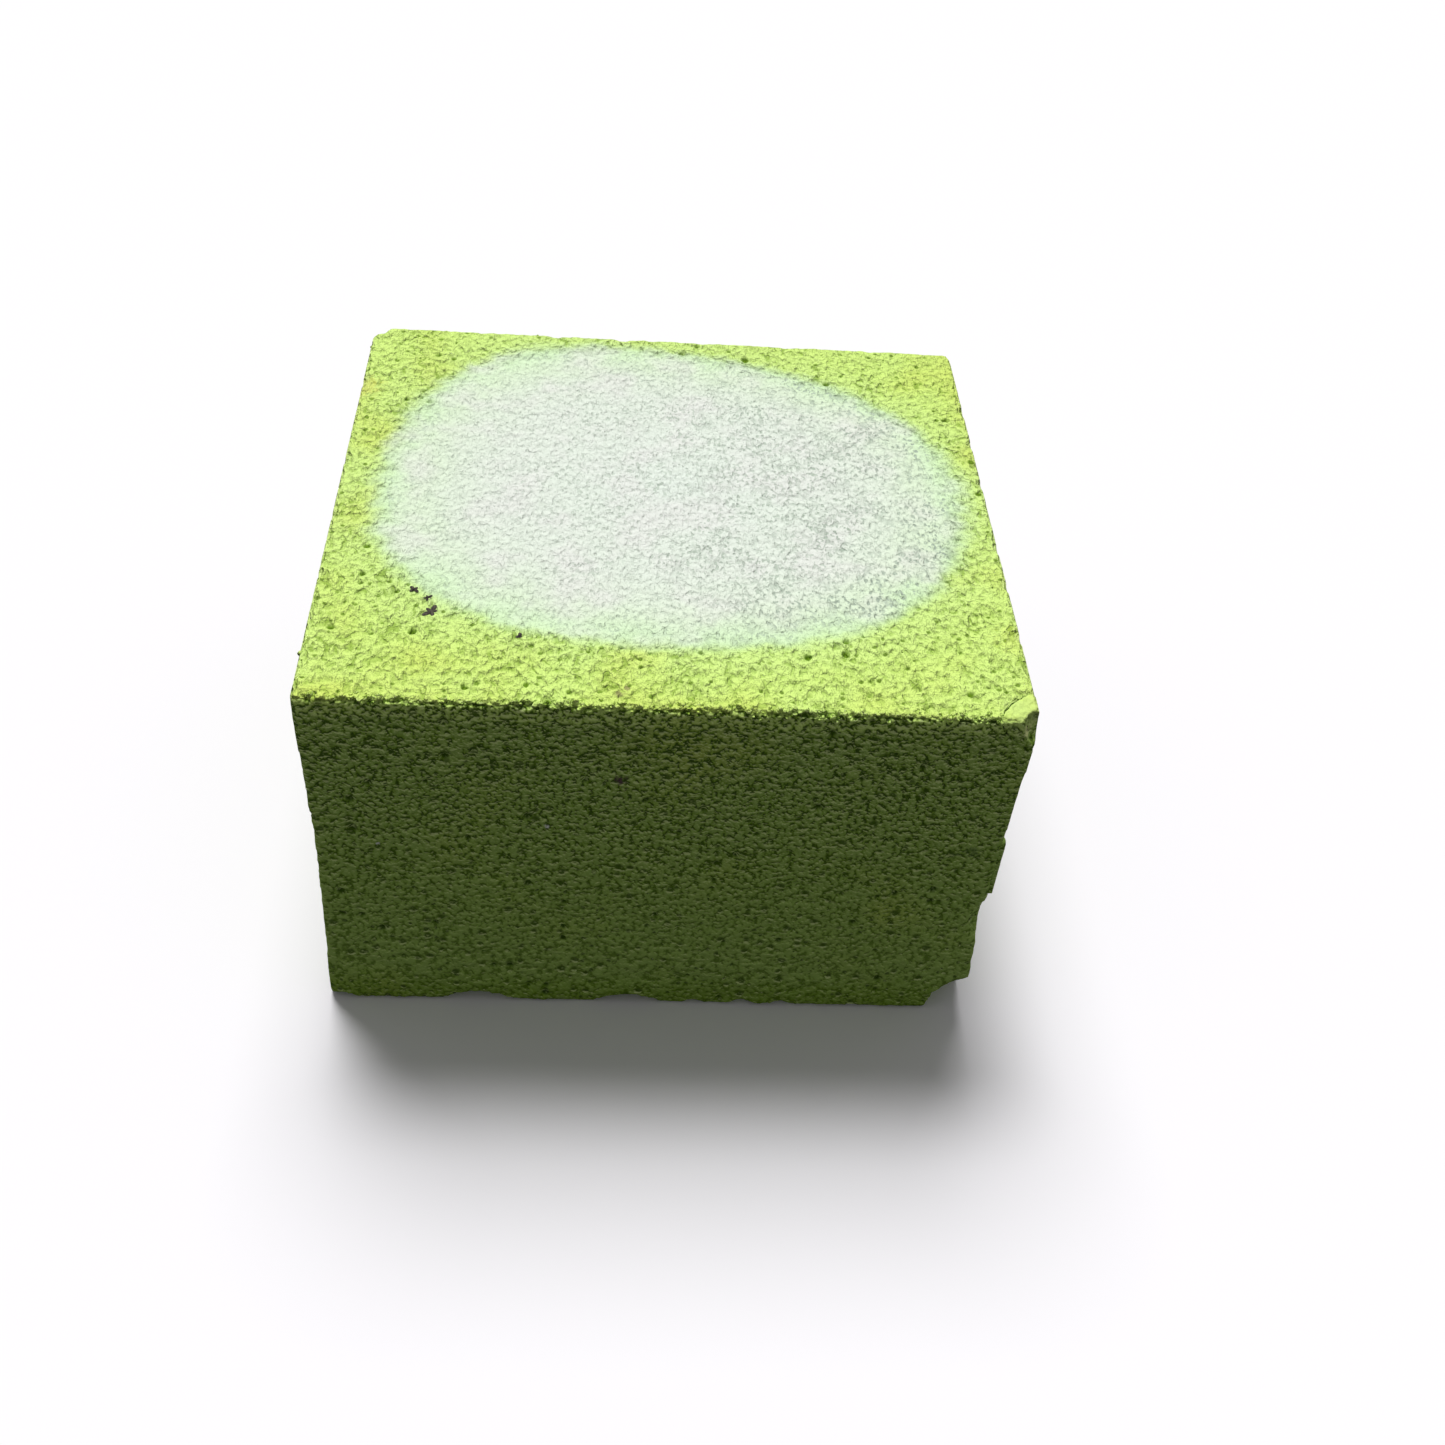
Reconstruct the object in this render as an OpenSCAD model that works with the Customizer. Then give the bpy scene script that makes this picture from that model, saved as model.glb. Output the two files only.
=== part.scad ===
// Gymnastics chalk block: one pressed cake of dyed chalk that stands on the
// XY plane, front face towards -Y, with the loose pieces that lie on it.

/* [Cake] */
// Width of the cake, left to right
block_w = 55; // [45:0.5:75]
// Depth of the cake, front to back
block_d = 52; // [45:0.5:75]
// Height of the cake
block_h = 35; // [28:0.5:50]
// How far each upright side is drawn in at mid height
side_waist = 0.5; // [0.2:0.05:1.2]
// Straight band above and below the drawn-in part of each side
side_band = 1.5; // [0.5:0.1:4]
// Radius of the two front upright corners
front_corner_r = 0.6; // [0.3:0.1:2]
// Radius of the two back upright corners
back_corner_r = 1.2; // [0.3:0.1:3]
// Width of the worn bevel along the top and bottom rims
rim_bevel = 0.3; // [0.1:0.05:0.8]

/* [White coat on top] */
// Bare chalk at the ends of the coat, on average
coat_side_gap = 2.8; // [2:0.1:6]
// How far the coat's middle lies to the right of the block's
coat_shift = 0.5; // [-1:0.1:1]
// Bare chalk between the coat and the front rim
coat_front_gap = 7; // [5:0.1:12]
// Bare chalk between the coat and the back rim
coat_back_gap = 2.6; // [1.5:0.1:8]
// Turn of the oval about the upright axis, in degrees
coat_turn = -7.5; // [-15:0.5:15]
// Squareness of the oval, where 2 gives an ellipse
coat_square = 2.4; // [2:0.1:3.5]
// Share by which the oval narrows from its middle to its right end
coat_taper = 0.09; // [0:0.01:0.2]
// Thickness of the rubbed-on coat
coat_t = 0.15; // [0.05:0.01:0.4]
// Width of the feathered edge of the coat
coat_feather = 1.6; // [0.5:0.1:4]

/* [Cracked corner flake] */
// Reach of the flake along each rim from the front right top corner
flake_reach = 3.2; // [2:0.1:6]
// Radius of the curved break behind the flake
flake_break_r = 6; // [5:0.1:12]
// Width of the crack round the flake
crack_gap = 0.1; // [0.05:0.01:0.3]

/* [Flake on the right side] */
// Height of the side flake's middle above the base
side_flake_z = 18; // [16.5:0.5:20]
// Height of the side flake
side_flake_h = 6.4; // [4:0.1:7]
// Width of the side flake along the side
side_flake_w = 5.2; // [3:0.1:8]
// Clearance between the side flake and the side that it lies on
side_flake_gap = 0.05; // [0.02:0.01:0.15]

/* [Breaks] */
// Radius of the break at the front right foot
foot_break_r = 4.6; // [3:0.1:6]
// Distance of that break's centre outside each of the two faces
foot_break_out = 1; // [0.2:0.1:2]
// Length of the scoop out of the front right upright edge
scoop_l = 5.6; // [2:0.1:6]
// Depth of the scoop, across the edge
scoop_depth = 0.9; // [0.3:0.1:2]
// Height of the scoop's middle above the base
scoop_z = 11.7; // [11:0.1:12]
// Radius of the notch in the back left top corner
notch_r = 3; // [1.5:0.1:5]
// Depth of the worn hollows along the front foot
foot_wear = 0.75; // [0.2:0.05:1.5]

/* [Chips and pores] */
// Chips along each top and bottom rim
rim_chips = 6; // [2:1:10]
// Length of the longest rim chip
chip_l = 2.4; // [1:0.1:3.5]
// Depth of the deepest rim chip
chip_depth = 0.35; // [0.1:0.05:0.6]
// Open pores in each of the three rows on an upright side
side_pores = 5; // [2:1:8]
// Pores in each row of the top, where those under the coat are left out
top_pores = 7; // [3:1:10]
// Radius of the largest pore
pore_r = 0.45; // [0.2:0.05:0.7]

/* [Crumbs and grit] */
// Chalk crumbs along the front top rim
crumb_count = 9; // [3:1:16]
// Radius of the largest crumb
crumb_r = 0.32; // [0.15:0.01:0.5]
// Size of the largest fleck of dark grit on the top
grit_l = 1.1; // [0.6:0.1:1.6]
// Thickness of a fleck
grit_t = 0.1; // [0.05:0.01:0.2]

/* [Hidden] */
$fn = 48;

chalk_green = [0.76, 0.89, 0.47];
chalk_shade = [0.62, 0.76, 0.33];
coat_white = [0.88, 0.91, 0.88];
grit_dark = [0.13, 0.13, 0.10];

// How far a pore's centre lies outside the surface, as a share of its radius
pore_lift = 0.3;

half_w = block_w / 2;
half_d = block_d / 2;
longest = max(block_w, block_d, block_h);

// Radius of an arc from its chord and the depth at its middle
function bow_radius(chord, depth) = (chord * chord / 4 + depth * depth) / (2 * depth);

waist_r = bow_radius(block_h - 2 * side_band, side_waist);

// How far the drawn-in side lies inside the straight one at height z
function inset_at(z) = max(
    0,
    sqrt(waist_r * waist_r - pow(z - block_h / 2, 2)) - waist_r + side_waist
);

// Distance from the middle to side 0 front, 1 right, 2 back, 3 left
function half_of(side) = side % 2 == 0 ? half_d : half_w;

// Half the length of a side
function run_of(side) = side % 2 == 0 ? half_w : half_d;

// The rounded oval: its centre, its half length and its half width
coat_c = [coat_shift, (coat_front_gap - coat_back_gap) / 2];
coat_a = half_w - coat_side_gap;
coat_b = half_d - (coat_front_gap + coat_back_gap) / 2;

// A cosine or sine squared off, which turns a circle into a rounded oval
function squared(c) = sign(c) * pow(abs(c), 2 / coat_square);

// A point on the oval at angle a, or further out by the distance out
function coat_point(a, out = 0) =
    let (
        u = (coat_a + out) * squared(cos(a)),
        v = (coat_b + out) * squared(sin(a)) * (1 - coat_taper * squared(cos(a)))
    )
    coat_c + [
        u * cos(coat_turn) - v * sin(coat_turn),
        u * sin(coat_turn) + v * cos(coat_turn)
    ];

// How far out a point lies, where 1 is the oval's own edge
function coat_reach(p) =
    let (
        d = p - coat_c,
        u = (d.x * cos(coat_turn) + d.y * sin(coat_turn)) / coat_a,
        v = (d.y * cos(coat_turn) - d.x * sin(coat_turn)) / coat_b
    )
    pow(
        pow(abs(u), coat_square) + pow(abs(v / (1 - coat_taper * u)), coat_square),
        1 / coat_square
    );

// The front right top corner, and its break's centre out along the diagonal
flake_corner = [half_w, -half_d, block_h];
corner_way = [1, -1, 1] / sqrt(3);
flake_out = sqrt(pow(flake_break_r, 2) - pow(flake_reach, 2) * 2 / 3)
    - flake_reach / sqrt(3);

// ---- Shared forms -------------------------------------------------------

function corner_arc(c, r, start) = [
    for (i = [0:4]) c + r * [cos(start + 22.5 * i), sin(start + 22.5 * i)]
];

module cake_plan() {
    fr = front_corner_r;
    br = back_corner_r;
    polygon(concat(
        corner_arc([half_w - br, half_d - br], br, 0),
        corner_arc([br - half_w, half_d - br], br, 90),
        corner_arc([fr - half_w, fr - half_d], fr, 180),
        corner_arc([half_w - fr, fr - half_d], fr, 270)
    ));
}

// The space that draws one side in: a long shallow arc from rim to rim
module waist_of(side) {
    rotate([0, 0, 90 * side])
        translate([0, side_waist - waist_r - half_of(side), block_h / 2])
            rotate([0, 90, 0])
                cylinder(r = waist_r, h = 2 * longest, center = true, $fn = 1440);
}

module rim_bevel_of(side, z) {
    rotate([0, 0, 90 * side])
        translate([0, -half_of(side), z])
            rotate([45, 0, 0])
                cube([2 * longest, rim_bevel * sqrt(2), rim_bevel * sqrt(2)], center = true);
}

// The cake as it leaves the press, before anything breaks off it
module pressed_cake() {
    difference() {
        linear_extrude(block_h)
            cake_plan();
        for (side = [0:3]) {
            waist_of(side);
            rim_bevel_of(side, 0);
            rim_bevel_of(side, block_h);
        }
    }
}

// A shell-shaped bite: a ball set outside the point at, in the direction
// out, so that it bites to the depth over the length
module bite(at, out, length, depth) {
    r = bow_radius(length, depth);
    translate(at + out / norm(out) * (r - depth))
        sphere(r);
}

// Chips along a rim, one in each slot, each at a seeded place and size
module chips_along(side, z, seed) {
    up = z > 0 ? 1 : -1;
    span = 2 * (run_of(side) - flake_reach - chip_l);
    place = rands(-0.2, 0.2, rim_chips, seed);
    share = rands(0.4, 1, rim_chips, seed + 1);
    rotate([0, 0, 90 * side])
        for (i = [0:rim_chips - 1])
            bite(
                [span * ((i + 0.5 + place[i]) / rim_chips - 0.5), -half_of(side), z],
                [0, -1, up],
                chip_l * share[i],
                chip_depth * share[i] + rim_bevel / sqrt(2)
            );
}

// Pores in one upright side: one in each slot of a grid, at a seeded place
module side_pores_of(side, seed) {
    rows = 3;
    step_x = 2 * (run_of(side) - flake_reach) / side_pores;
    step_z = (block_h - 2 * flake_reach) / rows;
    count = rows * side_pores;
    shift_x = rands(-0.3, 0.3, count, seed);
    shift_z = rands(-0.3, 0.3, count, seed + 1);
    share = rands(0.5, 1, count, seed + 2);
    rotate([0, 0, 90 * side])
        for (i = [0:count - 1])
            let (
                r = pore_r * share[i],
                x = step_x * (i % side_pores - (side_pores - 1) / 2 + shift_x[i]),
                z = flake_reach + step_z * (floor(i / side_pores) + 0.5 + shift_z[i])
            )
            translate([x, inset_at(z) - half_of(side) - r * pore_lift, z])
                sphere(r, $fn = 16);
}

// Pores in the bare chalk of the top, clear of the oval and the rims
module top_pores_of(seed) {
    step_x = (block_w - 2 * chip_l) / top_pores;
    step_y = (block_d - 2 * chip_l) / top_pores;
    count = top_pores * top_pores;
    shift_x = rands(-0.3, 0.3, count, seed);
    shift_y = rands(-0.3, 0.3, count, seed + 1);
    share = rands(0.5, 1, count, seed + 2);
    for (i = [0:count - 1])
        let (
            r = pore_r * share[i],
            x = step_x * (i % top_pores - (top_pores - 1) / 2 + shift_x[i]),
            y = step_y * (floor(i / top_pores) - (top_pores - 1) / 2 + shift_y[i])
        )
        if (coat_reach([x, y]) > 1.06)
            translate([x, y, block_h + r * pore_lift])
                sphere(r, $fn = 16);
}

// Hollows worn along the front foot: place from the left end and length
front_foot_hollows = [[1, 3.5], [12.6, 6.4], [25.4, 6.4], [35.4, 3]];

module front_foot_wear() {
    for (hollow = front_foot_hollows)
        bite(
            [hollow[0] - half_w, -half_d, 0],
            [0, -1, -1],
            hollow[1],
            foot_wear * hollow[1] / front_foot_hollows[1][1] + rim_bevel / sqrt(2)
        );
}

module foot_break() {
    translate([half_w + foot_break_out, -half_d - foot_break_out, 0])
        sphere(foot_break_r);
}

// The scoop bites into the drawn-in upright edge above the broken foot
module upright_edge_scoop() {
    inset = inset_at(scoop_z);
    bite([half_w - inset, inset - half_d, scoop_z], [1, -1, 0], scoop_l, scoop_depth);
}

module back_corner_notch() {
    translate([-half_w - notch_r / 3, half_d + notch_r / 3, block_h + notch_r / 4])
        sphere(notch_r);
}

// The curved break behind the corner flake, wider by ease
module flake_break(ease = 0) {
    translate(flake_corner + corner_way * flake_out)
        sphere(flake_break_r + ease);
}

// A leaf with ragged ends, drawn on the right side at the front edge
module side_flake_leaf() {
    w = side_flake_w;
    h = side_flake_h / 2;
    depth = min(inset_at(side_flake_z - h), inset_at(side_flake_z + h)) - side_flake_gap;
    translate([half_w - depth, -half_d, side_flake_z])
        rotate([90, 0, 90])
            linear_extrude(depth)
                polygon([
                    [-1, -h], [w * 0.45, -h * 0.85], [w * 0.8, -h * 0.45], [w, 0],
                    [w * 0.75, h * 0.4], [w * 0.5, h * 0.5], [w * 0.2, h], [-1, h * 0.9]
                ]);
}

// A star of grit with uneven rays
module grit_fleck(size, rays, seed) {
    reach = rands(0.75, 1, rays, seed);
    linear_extrude(grit_t)
        polygon([
            for (i = [0:2 * rays - 1])
                let (r = i % 2 == 0 ? size / 2 * reach[i / 2] : size / 5)
                r * [cos(180 * i / rays), sin(180 * i / rays)]
        ]);
}

// ---- The pieces ---------------------------------------------------------

module chalk_block() {
    color(chalk_green)
        difference() {
            pressed_cake();
            for (side = [0:3]) {
                chips_along(side, block_h, 11 + 10 * side);
                chips_along(side, 0, 61 + 10 * side);
                side_pores_of(side, 111 + 10 * side);
            }
            top_pores_of(171);
            front_foot_wear();
            foot_break();
            upright_edge_scoop();
            back_corner_notch();
            flake_break(crack_gap);
        }
}

// White chalk rubbed on to the middle of the top, thinning out at its edge
module white_coat() {
    inner = 1 - coat_feather / coat_b;
    color(coat_white)
        translate([coat_c.x, coat_c.y, block_h])
            linear_extrude(coat_t, scale = inner)
                polygon([for (i = [0:71]) coat_point(5 * i) - coat_c]);
}

module corner_flake() {
    color(chalk_green)
        difference() {
            intersection() {
                pressed_cake();
                flake_break();
            }
            bite(flake_corner, corner_way, 2.2, 0.8);
        }
}

// A shell of chalk that has lifted from the drawn-in right side
module side_flake() {
    color(chalk_shade)
        difference() {
            intersection() {
                linear_extrude(block_h)
                    cake_plan();
                side_flake_leaf();
            }
            waist_of(0);
        }
}

// Crumbs that have rolled into the bevel of the front rim
module edge_crumbs() {
    slot = 2 * (half_w - flake_reach - chip_l) / crumb_count;
    place = rands(0.2, 0.8, crumb_count, 301);
    share = rands(0.6, 1, crumb_count, 302);
    color(chalk_green)
        difference() {
            for (i = [0:crumb_count - 1])
                translate([
                    (i - crumb_count / 2 + place[i]) * slot,
                    crumb_r * share[i] - half_d,
                    block_h
                ])
                    sphere(crumb_r * share[i], $fn = 20);
            pressed_cake();
        }
}

// Flecks of dark grit pressed on to the top in front of the white coat
module dark_grit() {
    color(grit_dark) {
        translate(concat(coat_point(235.4, 1.4), block_h))
            grit_fleck(grit_l, 5, 401);
        translate(concat(coat_point(227.5, 0.5), block_h))
            grit_fleck(grit_l * 0.6, 4, 402);
        translate(concat(coat_point(231.6, 0.45), block_h))
            grit_fleck(grit_l * 0.5, 4, 403);
        translate(concat(coat_point(253, 0.9), block_h))
            grit_fleck(grit_l * 0.5, 5, 404);
    }
}

chalk_block();
white_coat();
corner_flake();
side_flake();
edge_crumbs();
dark_grit();
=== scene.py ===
# %% [markdown]
# # A block of gym chalk
#
# Gymnasts rub their hands on a cake of pressed chalk. This one is dyed
# green. It has a leathery skin on top with a white patch rubbed on to it,
# spongy sides full of pores, crumbled rims and a broken foot.
#
# The cake's size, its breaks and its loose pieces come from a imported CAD
# model, which this lesson loads as a fixed frame. What the lesson adds is
# the surface: the pores, creases and crumbs, the dye and the light.

# %% Load the frame
from math import cos, pi, radians, sin

import bmesh
import bpy
from mathutils import Matrix, Quaternion, Vector


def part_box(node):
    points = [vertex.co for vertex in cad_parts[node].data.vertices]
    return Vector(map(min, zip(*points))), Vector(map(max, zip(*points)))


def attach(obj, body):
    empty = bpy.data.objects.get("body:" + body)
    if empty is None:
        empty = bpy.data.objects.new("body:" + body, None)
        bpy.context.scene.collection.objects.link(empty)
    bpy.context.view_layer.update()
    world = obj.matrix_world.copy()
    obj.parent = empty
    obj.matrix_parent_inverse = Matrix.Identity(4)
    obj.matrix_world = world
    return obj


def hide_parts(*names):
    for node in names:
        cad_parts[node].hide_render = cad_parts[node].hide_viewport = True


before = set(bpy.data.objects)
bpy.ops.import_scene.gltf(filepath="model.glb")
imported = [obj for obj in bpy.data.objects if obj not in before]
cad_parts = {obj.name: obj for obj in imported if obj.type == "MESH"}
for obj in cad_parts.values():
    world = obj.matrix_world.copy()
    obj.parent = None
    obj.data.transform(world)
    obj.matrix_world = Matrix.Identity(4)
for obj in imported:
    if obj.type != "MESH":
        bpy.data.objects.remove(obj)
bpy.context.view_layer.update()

MM = 0.001
scene = bpy.context.scene
cake_low, cake_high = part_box("chalk_block")
half_width = cake_high.x
half_depth = cake_high.y
height = cake_high.z
print("cake, mm:", [round(side / MM, 1) for side in (cake_high - cake_low)])

# %% [markdown]
# ## The camera
#
# The block is seen from above and in front, close up, so its sides lean
# together in strong perspective. The camera is placed as one would say it
# aloud: aim at a point, step back, swing round, tip down, and turn the
# camera a little about its own axis.

# %% Place the camera
AIM = Vector((5.57, -8.56, 17.5)) * MM
DISTANCE = 144.6 * MM
SWING = radians(5.99)
TIP = radians(43.1)
ROLL = radians(5.91)
LENS = 40.96

looking = Vector((0, 1, 0))
looking.rotate(Quaternion((1, 0, 0), -TIP))
looking.rotate(Quaternion((0, 0, 1), -SWING))
turn = looking.to_track_quat("-Z", "Y") @ Quaternion((0, 0, 1), ROLL)

camera = bpy.data.objects.new("camera", bpy.data.cameras.new("camera"))
scene.collection.objects.link(camera)
camera.data.lens = LENS
camera.data.clip_start = 5 * MM
camera.matrix_world = Matrix.Translation(AIM - looking * DISTANCE) @ turn.to_matrix().to_4x4()
scene.camera = camera
print("camera at, mm:", [round(c / MM, 1) for c in camera.matrix_world.translation])

# %% [markdown]
# ## Helpers for node trees
#
# Geometry Nodes and shaders share most of their texture and maths nodes.
# This small wrapper adds a node, sets it up and wires its inputs in one
# line, so the same recipe can shape the mesh and colour it.


# %% A short way to write nodes
class Recipe:
    """Adds nodes to a tree. A value given to an input may be a number or a socket."""

    def __init__(self, tree):
        self.tree = tree

    def add(self, kind, wires, **settings):
        node = self.tree.nodes.new(kind)
        for name, value in settings.items():
            setattr(node, name, value)
        for name, value in wires.items():
            if isinstance(value, bpy.types.NodeSocket):
                self.tree.links.new(value, node.inputs[name])
            else:
                node.inputs[name].default_value = value
        return node

    def maths(self, operation, first, second=0.0):
        return self.add("ShaderNodeMath", {0: first, 1: second}, operation=operation).outputs[0]

    def vector(self, operation, first, second, scale=None):
        wires = {0: first}
        if scale is None:
            wires[1] = second
        else:
            wires["Scale"] = scale
        return self.add("ShaderNodeVectorMath", wires, operation=operation).outputs[0]

    def fade(self, value, start, end, low=0.0, high=1.0):
        """Goes smoothly from low at start to high at end."""
        wires = {"Value": value, "From Min": start, "From Max": end, "To Min": low, "To Max": high}
        return self.add("ShaderNodeMapRange", wires, interpolation_type="SMOOTHSTEP").outputs[0]

    def split(self, vector):
        """The x, y and z of a vector."""
        return self.add("ShaderNodeSeparateXYZ", {0: vector}).outputs

    def mix(self, share, low, high):
        """The number low where share is 0, and high where it is 1."""
        return self.add("ShaderNodeMix", {0: share, 2: low, 3: high}).outputs[0]

    def blend(self, share, low, high):
        """The colour low where share is 0, and high where it is 1."""
        wires = {0: share, 6: low, 7: high}
        return self.add("ShaderNodeMix", wires, data_type="RGBA").outputs[2]

    def noise(self, place, size, detail=2.0, seed=0.0):
        """Cloudy noise whose clouds are about size across."""
        moved = self.vector("ADD", place, (seed, seed * 0.7, seed * 1.3))
        wires = {"Vector": moved, "Scale": 1 / size, "Detail": detail}
        return self.add("ShaderNodeTexNoise", wires).outputs[0]


def new_tree(name, kind, inputs, outputs):
    """A node group with named sockets: inputs and outputs are (name, type, default)."""
    tree = bpy.data.node_groups.new(name, kind)
    for side, sockets in (("INPUT", inputs), ("OUTPUT", outputs)):
        for label, socket_type, default in sockets:
            socket = tree.interface.new_socket(label, in_out=side, socket_type=socket_type)
            if default is not None:
                socket.default_value = default
    given = tree.nodes.new("NodeGroupInput").outputs
    result = tree.nodes.new("NodeGroupOutput").inputs
    return tree, given, result


NUMBER, PLACE, GEOMETRY = "NodeSocketFloat", "NodeSocketVector", "NodeSocketGeometry"
COLOUR = "NodeSocketColor"

# %% [markdown]
# ## Patterns of pressed chalk
#
# Four things mark the surface. Pores are round pits of very different
# sizes, scattered at random: cell noise gives one pit to each cell, and
# the cell's random number sets its radius. The top is leathery, with soft
# lobes where a cloudy noise is high and hollows where it is low. The sides
# are a sponge, made of two such noises. Creases are thin curved lines
# where a cloudy noise passes its middle value, and another noise leaves
# some of them out. Each pattern is a function that works in either kind
# of tree. What marks the top is longer from front to back than across,
# so the place it reads is squeezed that way first.

# %% Pores, creases, leather and sponge
LOBE_SIZE = 0.45 * MM
HOLLOW_SIZE = 0.42 * MM
SPOT_SIZE = 0.3 * MM
TOP_SQUEEZE = (1.0, 0.62, 1.0)

def pores(recipe, place, cell, largest, sparse, seed=0.0):
    """1 in the pits and 0 between them. sparse is the share of cells with no pit."""
    moved = recipe.vector("ADD", place, (seed, -seed, seed))
    cells = recipe.add("ShaderNodeTexVoronoi", {"Vector": moved, "Scale": 1 / cell})
    share = recipe.split(cells.outputs["Color"])[0]
    radius = recipe.fade(share, sparse, 1.0, 0.0, largest / cell)
    return recipe.fade(cells.outputs["Distance"], radius, recipe.maths("MULTIPLY", radius, 0.45))


def creases(recipe, place, size, width, broken, seed=0.0):
    """1 along thin curved lines. broken is how much of them is left out."""
    cloud = recipe.noise(place, size, 1.0, seed)
    away = recipe.maths("ABSOLUTE", recipe.maths("SUBTRACT", cloud, 0.5))
    line = recipe.fade(away, width / size, 0.0)
    kept = recipe.fade(recipe.noise(place, size * 1.6, 1.0, seed + 7.7), broken, broken + 0.08)
    return recipe.maths("MULTIPLY", line, kept)


def leather(recipe, place):
    """Small soft lobes with hollows between them, round about 0.5."""
    return recipe.noise(place, LOBE_SIZE, 2.0)


def sponge(recipe, place):
    """Low in the hollows and high on the walls between them, round about 0.5."""
    coarse = recipe.maths("MULTIPLY", recipe.noise(place, HOLLOW_SIZE, 1.0), 0.86)
    fine = recipe.maths("MULTIPLY", recipe.noise(place, HOLLOW_SIZE * 0.45, 1.0, 3.0), 0.14)
    return recipe.maths("ADD", coarse, fine)


# %% [markdown]
# ## Where the white patch is
#
# The patch is a turned oval, a little squarer than an ellipse and narrower
# at its right end, with a soft, slightly ragged edge. Its reach is 0 in
# the middle and 1 on the edge. The trees that shape the cake and the patch
# need it, and so do the materials, so it is a function as well.

# %% The reach of the white patch
PATCH_CENTRE = Vector((0.5, 2.2, 0)) * MM
PATCH_HALF_LENGTH = 24.7 * MM
PATCH_HALF_WIDTH = 21.2 * MM
PATCH_TURN = radians(-7.5)
PATCH_SQUARE = 2.4
PATCH_TAPER = 0.09


def taper_at(recipe, along):
    """How much narrower the oval is at that share of its half length."""
    return recipe.maths("SUBTRACT", 1.0, recipe.maths("MULTIPLY", along, PATCH_TAPER))


def patch_reach(recipe, place):
    """0 in the middle of the patch and 1 on its edge."""
    centred = recipe.vector("SUBTRACT", place, tuple(PATCH_CENTRE))
    wires = {"Vector": centred, "Angle": -PATCH_TURN}
    turned = recipe.add("ShaderNodeVectorRotate", wires, rotation_type="Z_AXIS").outputs[0]
    x, y, _ = recipe.split(turned)
    along = recipe.maths("DIVIDE", x, PATCH_HALF_LENGTH)
    across = recipe.maths("DIVIDE", recipe.maths("DIVIDE", y, PATCH_HALF_WIDTH), taper_at(recipe, along))
    powers = [
        recipe.maths("POWER", recipe.maths("ABSOLUTE", axis), PATCH_SQUARE)
        for axis in (along, across)
    ]
    return recipe.maths("POWER", recipe.maths("ADD", *powers), 1 / PATCH_SQUARE)


# %% [markdown]
# ## Shaping the skin
#
# The CAD cake is smooth between its breaks. A fine voxel remesh gives it
# an even net of points, and a Geometry Nodes tree then moves each point
# along its normal: inwards in pores, a little both ways in lumps, and
# unevenly inwards near the rims, which crumble in use. The flat base is
# left alone, so the block still stands flat, and the bed of the white
# patch stays smooth, because the patch is a piece of its own. The upright
# edges and the rims that nobody rubs on stay calm. The solid's sides draw
# in a little too far at half height, so the tree also fills that waist.
#
# The tree also stores each point's place before it was moved. The dye and
# the fine relief in the material read that place, so their pores fall
# exactly on the modelled ones.

# %% A tree that roughens a smooth chalk solid
PORE_CELL = 1.5 * MM
PORE_LARGEST = 0.48 * MM
PORE_SPARSE = 0.62
PIT_CELL = 0.75 * MM
PIT_LARGEST = 0.3 * MM
PIT_SPARSE = 0.5
BED_START = 0.86
BED_END = 0.97


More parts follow.
